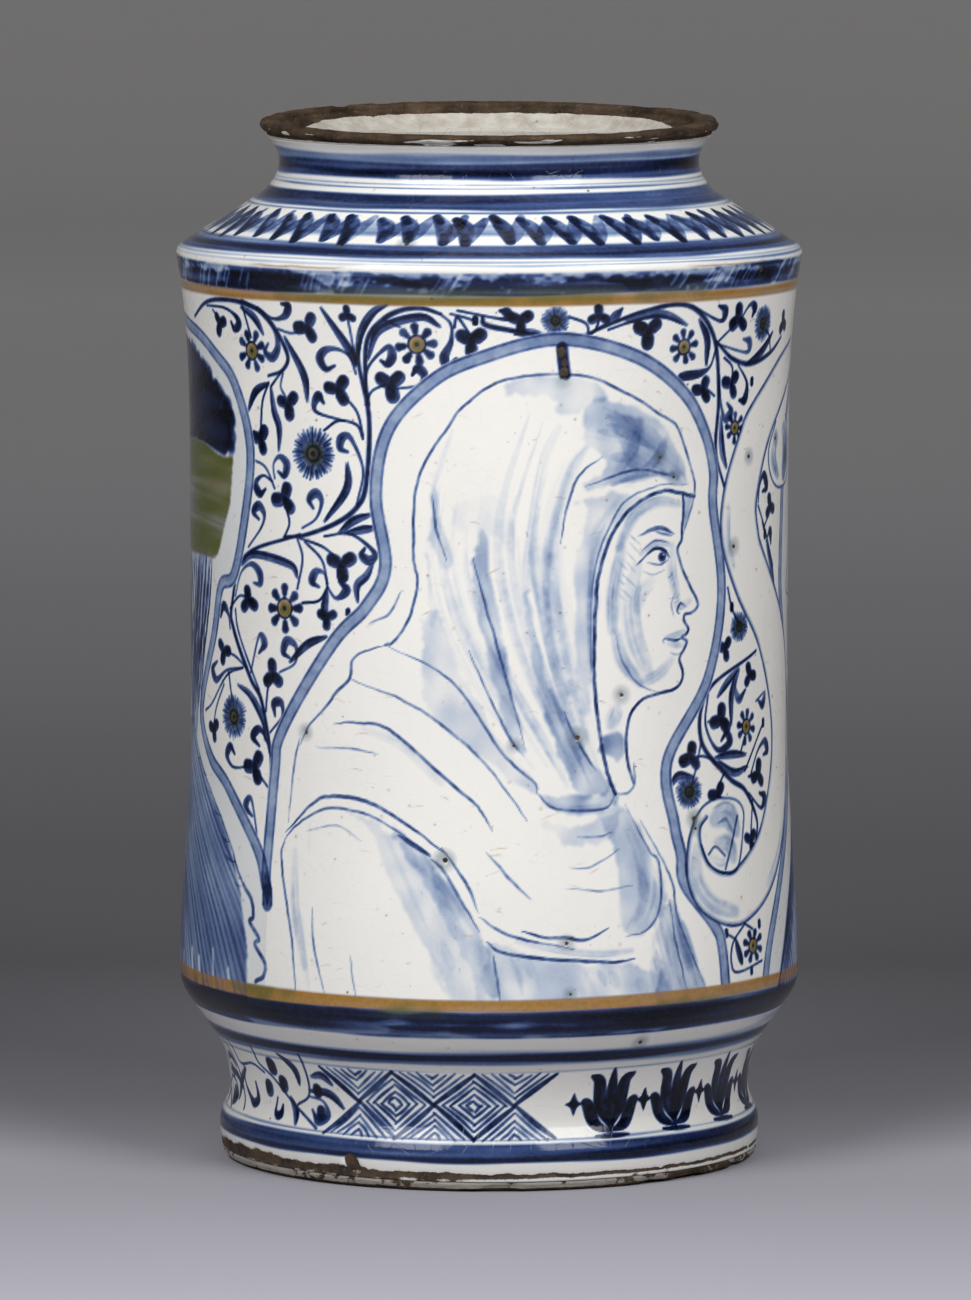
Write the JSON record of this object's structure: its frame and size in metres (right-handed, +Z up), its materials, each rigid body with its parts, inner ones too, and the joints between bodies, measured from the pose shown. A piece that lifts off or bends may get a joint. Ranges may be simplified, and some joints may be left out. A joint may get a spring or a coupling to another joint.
{
  "type": "albarello",
  "caption": "Waisted tin-glazed earthenware drug jar with a flared foot, a conical shoulder and an everted lip, painted outside in blue, ochre and olive, for dry or pasty stores.",
  "frame": {"origin": "centre of the foot, on the ground", "axes": "+Z up along the jar's axis, from the foot to the mouth; -Y is the painted front"},
  "size_m": [0.1876, 0.1876, 0.314],
  "materials": {
    "bare_clay": "fired buff earthenware, matt and worn",
    "painted_glaze": "glossy white tin glaze painted in cobalt blue, ochre and olive",
    "white_glaze": "glossy white tin glaze"
  },
  "bodies": {
    "root": {"foot_ring": "bare_clay", "floor_disc": "bare_clay", "body_wall": "bare_clay", "shoulder_ring": "bare_clay", "neck_collar": "bare_clay", "rim_lip": "bare_clay", "outer_glaze": "painted_glaze", "inner_glaze": "white_glaze"}
  },
  "joints": []
}
